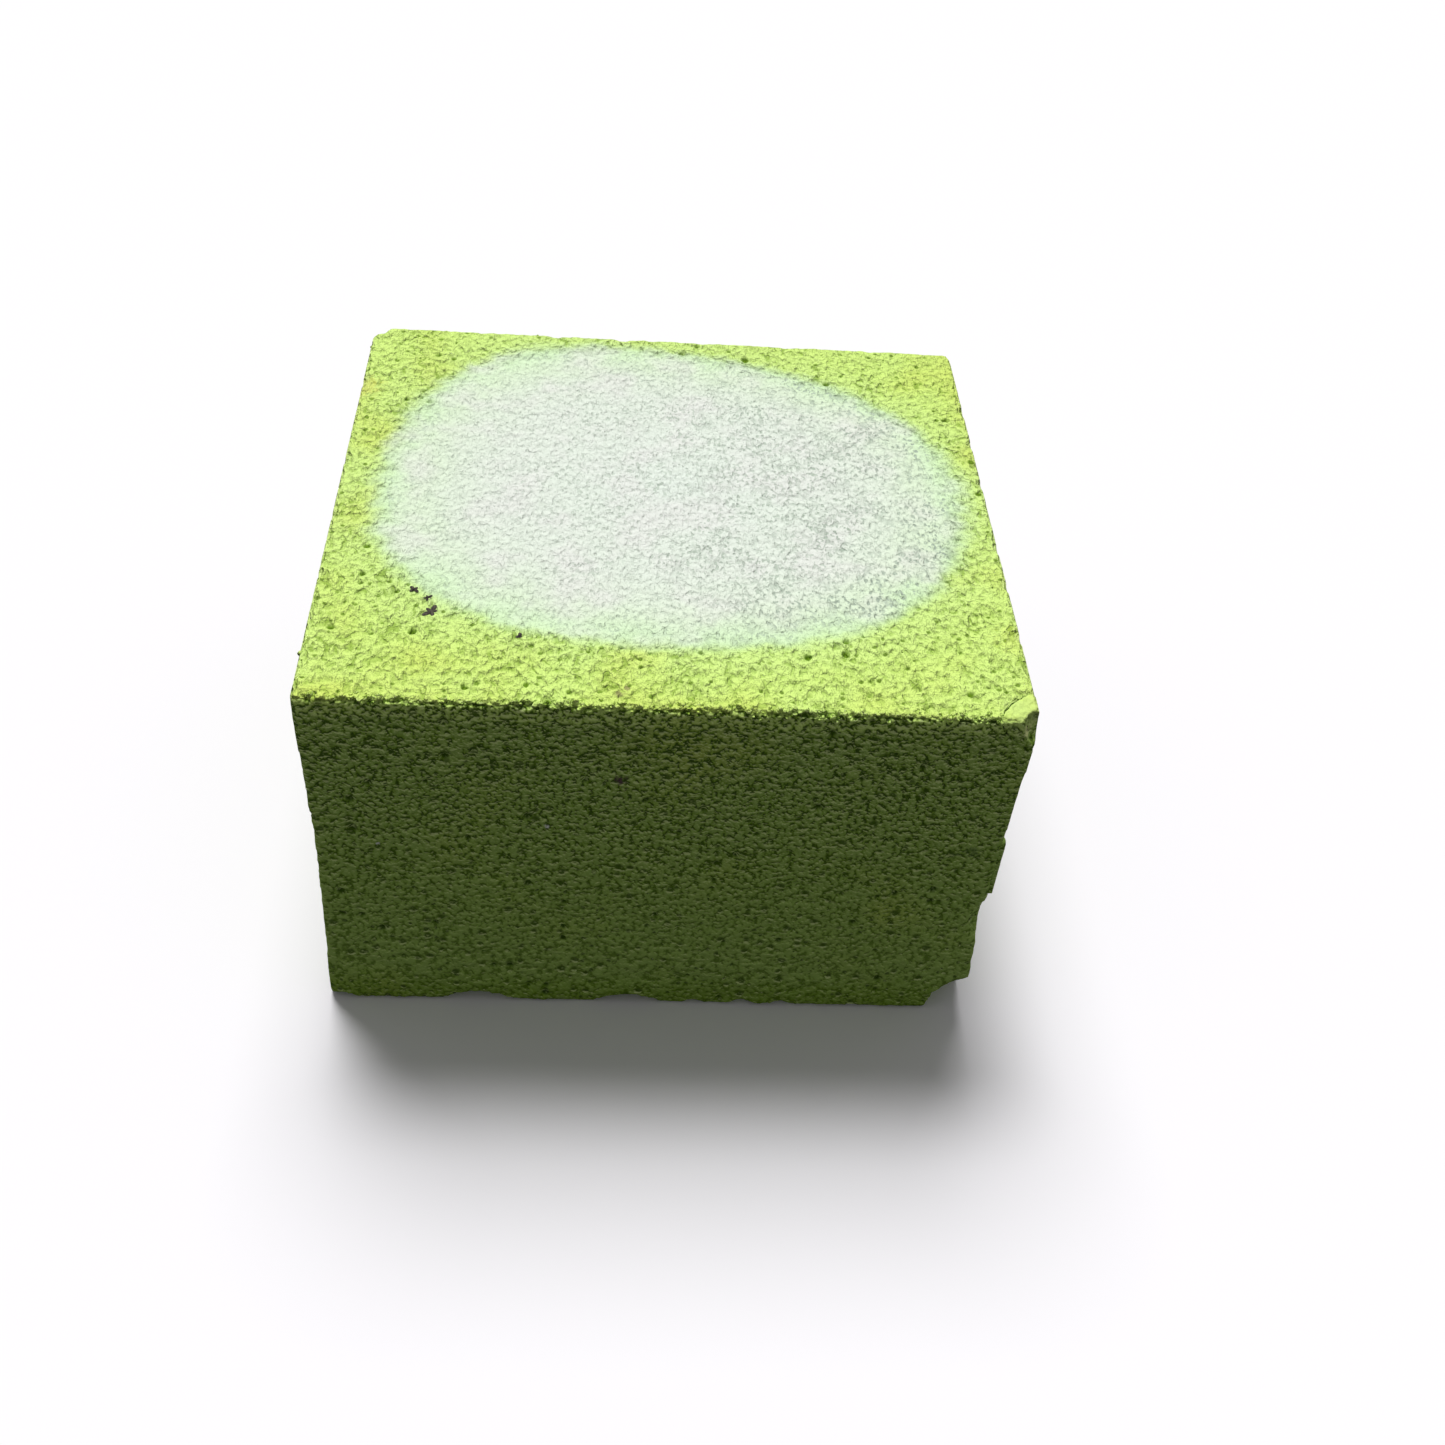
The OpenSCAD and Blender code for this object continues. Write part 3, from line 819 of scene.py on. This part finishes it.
def build_coat_tree():
    tree, given, result = new_tree("rubbed_coat", "GeometryNodeTree", [
        ("Geometry", GEOMETRY, None),
        ("Rise", NUMBER, 0.03 * MM),
        ("Edge Dive", NUMBER, 0.16 * MM),
        ("Underside", NUMBER, 0.3 * MM),
        ("Grain Height", NUMBER, 0.12 * MM),
        ("Material", "NodeSocketMaterial", None),
    ], [("Geometry", GEOMETRY, None)])
    r = Recipe(tree)
    wires = {"Size X": 2.0, "Size Y": 2.0, "Vertices X": COAT_CELLS, "Vertices Y": COAT_CELLS}
    grid = r.add("GeometryNodeMeshGrid", wires).outputs["Mesh"]

    # Squeeze the square into a disc: each side's middle stays and its corners come in
    u, v, _ = r.split(r.add("GeometryNodeInputPosition", {}).outputs[0])

    def squeezed(this, other):
        half_square = r.maths("MULTIPLY", r.maths("MULTIPLY", other, other), 0.5)
        return r.maths("MULTIPLY", this, r.maths("SQRT", r.maths("SUBTRACT", 1.0, half_square)))

    # Square the disc off again a little, as the patch is, and stretch it to its size
    disc = [squeezed(u, v), squeezed(v, u)]
    radius = r.maths("SQRT", r.maths("ADD", *[r.maths("MULTIPLY", axis, axis) for axis in disc]))
    spread = r.maths("POWER", radius, 1 - 2 / PATCH_SQUARE)

    def squared_off(axis):
        size = r.maths("POWER", r.maths("ABSOLUTE", axis), 2 / PATCH_SQUARE)
        return r.maths("MULTIPLY", r.maths("MULTIPLY", size, spread), r.maths("SIGN", axis))

    along, across = squared_off(disc[0]), squared_off(disc[1])
    x = r.maths("MULTIPLY", along, PATCH_HALF_LENGTH)
    y = r.maths("MULTIPLY", r.maths("MULTIPLY", across, taper_at(r, along)), PATCH_HALF_WIDTH)
    oval = r.add("ShaderNodeCombineXYZ", {0: x, 1: y, 2: height}).outputs[0]
    turned = r.add("ShaderNodeVectorRotate", {"Vector": oval, "Angle": PATCH_TURN},
                   rotation_type="Z_AXIS").outputs[0]
    place = r.vector("ADD", turned, tuple(PATCH_CENTRE))
    laid = r.add("GeometryNodeSetPosition", {"Geometry": grid, "Position": place}).outputs[0]
    here = r.add("GeometryNodeInputPosition", {}).outputs[0]
    laid = r.add("GeometryNodeStoreNamedAttribute", {
        "Geometry": laid, "Name": "pressed_place", "Value": here,
    }, data_type="FLOAT_VECTOR", domain="POINT").outputs[0]

    dive = r.fade(patch_reach(r, here), BED_START, 1.0, 0.0, given["Edge Dive"])
    grain = r.maths("SUBTRACT", r.noise(here, 0.5 * MM, 2.0), 0.5)
    rise = r.maths("ADD", r.maths("MULTIPLY", grain, given["Grain Height"]), given["Rise"])
    dimples = r.maths("MULTIPLY", pores(r, here, 2.6 * MM, 0.3 * MM, 0.7), DIMPLE_DEPTH)
    rise = r.maths("SUBTRACT", r.maths("SUBTRACT", rise, dive), dimples)
    top = r.add("GeometryNodeSetPosition", {
        "Geometry": laid, "Offset": r.add("ShaderNodeCombineXYZ", {2: rise}).outputs[0]}).outputs[0]
    lift = r.maths("MULTIPLY", given["Underside"], -1.0)
    under = r.add("GeometryNodeSetPosition", {
        "Geometry": laid, "Offset": r.add("ShaderNodeCombineXYZ", {2: lift}).outputs[0]}).outputs[0]
    under = r.add("GeometryNodeFlipFaces", {0: under}).outputs[0]
    join = r.add("GeometryNodeJoinGeometry", {})
    tree.links.new(top, join.inputs[0])
    tree.links.new(under, join.inputs[0])
    real = r.add("GeometryNodeRealizeInstances", {0: join.outputs[0]}).outputs[0]
    done = r.add("GeometryNodeSetMaterial", {0: real, "Material": given["Material"]}).outputs[0]
    tree.links.new(done, result["Geometry"])
    return tree


# %% Make the coat
def close_rim(piece):
    """Joins the open rims of the upper and the lower sheet with a ring of faces."""
    work = bmesh.new()
    work.from_mesh(piece.data)
    rims = [edge for edge in work.edges if edge.is_boundary]
    bmesh.ops.bridge_loops(work, edges=rims)
    bmesh.ops.recalc_face_normals(work, faces=work.faces)
    work.to_mesh(piece.data)
    work.free()


coat = bpy.data.objects.new("rubbed_white_coat", bpy.data.meshes.new("rubbed_white_coat"))
scene.collection.objects.link(coat)
run_tree(coat, build_coat_tree(), material=white_chalk)
close_rim(coat)
thin_out(coat, COAT_TRIANGLES)
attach(coat, "root")
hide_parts("white_coat")

# %% [markdown]
# ## Crumbs on the rims
#
# Crumbs that broke off the rims cling to them, most of all along the
# front of the top. Points are scattered over the finished cake, thickly
# near its front rim and hardly anywhere else, and each carries a small
# lump of random size, with few faces because there are hundreds. So every
# crumb sits on chalk, wherever the rim has broken.

# %% A tree that scatters crumbs
ANY_TURN = (6.28, 6.28, 6.28)
SLIMMEST = (0.6, 0.8, 0.7)
STOUTEST = (1.1, 1.4, 1.1)
CRUMB_DENT = 0.2 * MM

def build_crumb_tree():
    tree, given, result = new_tree("clinging_crumbs", "GeometryNodeTree", [
        ("Geometry", GEOMETRY, None),
        ("Per Square Metre", NUMBER, 9.0e6),
        ("Smallest", NUMBER, 0.08 * MM),
        ("Largest", NUMBER, 0.27 * MM),
        ("Seed", "NodeSocketInt", 4),
        ("Material", "NodeSocketMaterial", None),
    ], [("Geometry", GEOMETRY, None)])
    r = Recipe(tree)
    place = r.add("GeometryNodeInputPosition", {}).outputs[0]
    x, y, z = r.split(place)
    near_front = r.fade(y, -half_depth + 0.9 * MM, -half_depth + 0.3 * MM)
    off_corner = r.fade(r.maths("ABSOLUTE", x), half_width - 0.4 * MM, half_width - 1.0 * MM)
    near_front = r.maths("MULTIPLY", near_front, off_corner)
    near_top = r.fade(z, height - 0.7 * MM, height - 0.3 * MM)
    near_side = r.fade(r.maths("ABSOLUTE", x), half_width - 0.9 * MM, half_width - 0.4 * MM)
    near_back = r.fade(y, half_depth - 0.9 * MM, half_depth - 0.4 * MM)
    others = r.maths("MULTIPLY", r.maths("MAXIMUM", near_side, near_back), 0.01)
    density = r.maths("MULTIPLY", near_top, r.maths("MAXIMUM", near_front, others))
    clumps = r.fade(r.noise(place, 2 * MM, 1.0), 0.4, 0.6, 0.15, 1.0)
    density = r.maths("MULTIPLY", r.maths("MULTIPLY", density, clumps), given["Per Square Metre"])
    points = r.add("GeometryNodeDistributePointsOnFaces", {
        "Mesh": given["Geometry"], "Density": density, "Seed": given["Seed"],
    }).outputs["Points"]

    lump = r.add("GeometryNodeMeshIcoSphere", {"Radius": 1.0, "Subdivisions": 1}).outputs["Mesh"]
    size = r.add("FunctionNodeRandomValue", {
        "Min": given["Smallest"], "Max": given["Largest"], "Seed": given["Seed"]}).outputs["Value"]
    turn = r.add("FunctionNodeRandomValue", {0: (0, 0, 0), 1: ANY_TURN, "Seed": given["Seed"]},
                 data_type="FLOAT_VECTOR").outputs["Value"]
    shape = r.add("FunctionNodeRandomValue", {0: SLIMMEST, 1: STOUTEST, "Seed": 9},
                  data_type="FLOAT_VECTOR").outputs["Value"]
    scale = r.vector("SCALE", shape, None, size)
    placed = r.add("GeometryNodeInstanceOnPoints", {
        "Points": points, "Instance": lump, "Rotation": turn, "Scale": scale}).outputs[0]
    real = r.add("GeometryNodeRealizeInstances", {0: placed}).outputs[0]
    dented = r.maths("SUBTRACT", r.noise(place, 0.2 * MM, 1.0), 0.5)
    normal = r.add("GeometryNodeInputNormal", {}).outputs[0]
    dent = r.vector("SCALE", normal, None, r.maths("MULTIPLY", dented, CRUMB_DENT))
    real = r.add("GeometryNodeSetPosition", {"Geometry": real, "Offset": dent}).outputs[0]
    done = r.add("GeometryNodeSetMaterial", {0: real, "Material": given["Material"]}).outputs[0]
    tree.links.new(done, result["Geometry"])
    return tree


# %% Scatter the crumbs
crumbs = bpy.data.objects.new("clinging_rim_crumbs", cake.data.copy())
scene.collection.objects.link(crumbs)
run_tree(crumbs, build_crumb_tree(), material=crumb_chalk)
print("crumb triangles:", len(crumbs.data.polygons))
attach(crumbs, "root")
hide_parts("edge_crumbs")

# %% [markdown]
# ## Dark grit
#
# A few flecks of black grit are pressed into the top. Each is a small
# flat star of sharp points. The CAD model says where they lie, and each
# is built there as a ring of points round a low middle.

# %% Press in the grit
STAR_POINTS = 5
FLECK_SIDES = 40
FLECK_ABOVE = 0.12 * MM
FLECK_BELOW = 0.15 * MM


def fleck_places(node):
    """The middle and the radius of each separate solid in a CAD piece."""
    copy = merged_copy(node, "fleck_guide")
    work = bmesh.new()
    work.from_mesh(copy.data)
    left = set(work.verts)
    places = []
    while left:
        solid, todo = set(), [left.pop()]
        while todo:
            corner = todo.pop()
            solid.add(corner)
            for edge in corner.link_edges:
                other = edge.other_vert(corner)
                if other in left:
                    left.discard(other)
                    todo.append(other)
        middle = sum((corner.co for corner in solid), Vector()) / len(solid)
        places.append((middle, max((corner.co - middle).length for corner in solid)))
    work.free()
    bpy.data.objects.remove(copy)
    return sorted(places, key=lambda place: -place[1])


def add_fleck(work, middle, radius, points, turn):
    """One closed star: a top point, a bottom point and a ring of corners between them."""
    top = work.verts.new(middle + Vector((0, 0, FLECK_ABOVE)))
    bottom = work.verts.new(middle - Vector((0, 0, FLECK_BELOW)))
    ring = []
    for side in range(FLECK_SIDES):
        angle = 2 * pi * side / FLECK_SIDES
        spike = abs(cos(points * (angle - turn) / 2)) ** 1.6
        uneven = 1 + 0.2 * sin(2 * angle + turn * 3)
        reach = radius * (0.55 + 0.85 * spike) * uneven
        ring.append(work.verts.new(middle + Vector((reach * cos(angle), reach * sin(angle), 0))))
    for side in range(FLECK_SIDES):
        following = ring[(side + 1) % FLECK_SIDES]
        work.faces.new((ring[side], following, top))
        work.faces.new((following, ring[side], bottom))


grit_material, r, shader = new_material("black_grit", 0.7)
speckle = r.noise(r.add("ShaderNodeTexCoord", {}).outputs["Object"], 0.2 * MM, 2.0)
grit_colour = r.blend(r.fade(speckle, 0.4, 0.65), GRIT_BLACK, GRIT_GREY)
grit_material.node_tree.links.new(grit_colour, shader.inputs["Base Color"])

grit_work = bmesh.new()
for count, (middle, radius) in enumerate(fleck_places("dark_grit")):
    middle.z = height + 0.02 * MM
    add_fleck(grit_work, middle, radius, STAR_POINTS - count % 3, 0.7 * count)
grit = bpy.data.objects.new("pressed_dark_grit", bpy.data.meshes.new("pressed_dark_grit"))
scene.collection.objects.link(grit)
grit_work.to_mesh(grit.data)
grit_work.free()
grit.data.materials.append(grit_material)
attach(grit, "root")
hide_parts("dark_grit")
print("flecks:", len(grit.data.vertices) // (FLECK_SIDES + 2))

# %% [markdown]
# ## The floor and the light
#
# A white floor that also lit the block would wash out its shaded front,
# so the floor is white only to the camera and in reflections, and dull to
# the light that it throws back. Its white leans a trace towards pink,
# because its shadow is lit partly by way of the green block. Two soft suns
# stand behind and above: a window, which gives the shadow its dark core,
# and a broader bright sky, which softens its edge. A dim even light from
# all round fills in.

# %% Floor, lamp and sky
SKY = 0.205
FLOOR_SIZE = 4
FLOOR_WHITE = (0.948, 0.93, 0.96, 1.0)
FLOOR_DULL = srgb(60, 60, 60)
LAMP_SWING = radians(5.5)


def white_to_camera(recipe):
    """1 for rays that show the floor or sky directly, in a mirror or through glass."""
    path = recipe.add("ShaderNodeLightPath", {}).outputs
    seen = recipe.maths("MAXIMUM", path["Is Camera Ray"], path["Is Glossy Ray"])
    return recipe.maths("MAXIMUM", seen, path["Is Transmission Ray"])


def build_floor():
    bpy.ops.mesh.primitive_plane_add(size=FLOOR_SIZE)
    floor = bpy.context.active_object
    floor.name = "floor"
    material, r, shader = new_material("floor", 1.0)
    dull = r.add("ShaderNodeBsdfDiffuse", {"Color": FLOOR_DULL}).outputs[0]
    white = r.add("ShaderNodeBsdfDiffuse", {"Color": FLOOR_WHITE}).outputs[0]
    seen = r.add("ShaderNodeMixShader", {0: white_to_camera(r), 1: dull, 2: white}).outputs[0]
    surface = material.node_tree.nodes["Material Output"].inputs["Surface"]
    material.node_tree.links.new(seen, surface)
    material.node_tree.nodes.remove(shader)
    floor.data.materials.append(material)


def add_lamp(name, share, tip, softness):
    """A distant lamp behind the block that gives white paper that share of full white."""
    lamp = bpy.data.objects.new(name, bpy.data.lights.new(name, "SUN"))
    scene.collection.objects.link(lamp)
    lamp.data.energy = share * pi / cos(tip)
    lamp.data.angle = softness
    lamp.rotation_euler = (-tip, -LAMP_SWING, 0)


def build_sky():
    world = bpy.data.worlds.new("sky")
    world.use_nodes = True
    scene.world = world
    r = Recipe(world.node_tree)
    strength = r.fade(white_to_camera(r), 0.0, 1.0, SKY, 1.0)
    background = world.node_tree.nodes["Background"]
    background.inputs["Color"].default_value = (1, 1, 1, 1)
    world.node_tree.links.new(strength, background.inputs["Strength"])


build_floor()
add_lamp("window", 0.315, radians(17.7), radians(15.4))
add_lamp("bright_sky", 0.555, radians(27.8), radians(32.3))
build_sky()
scene.view_settings.view_transform = "Standard"
print("lamps:", [lamp.name for lamp in bpy.data.lights])
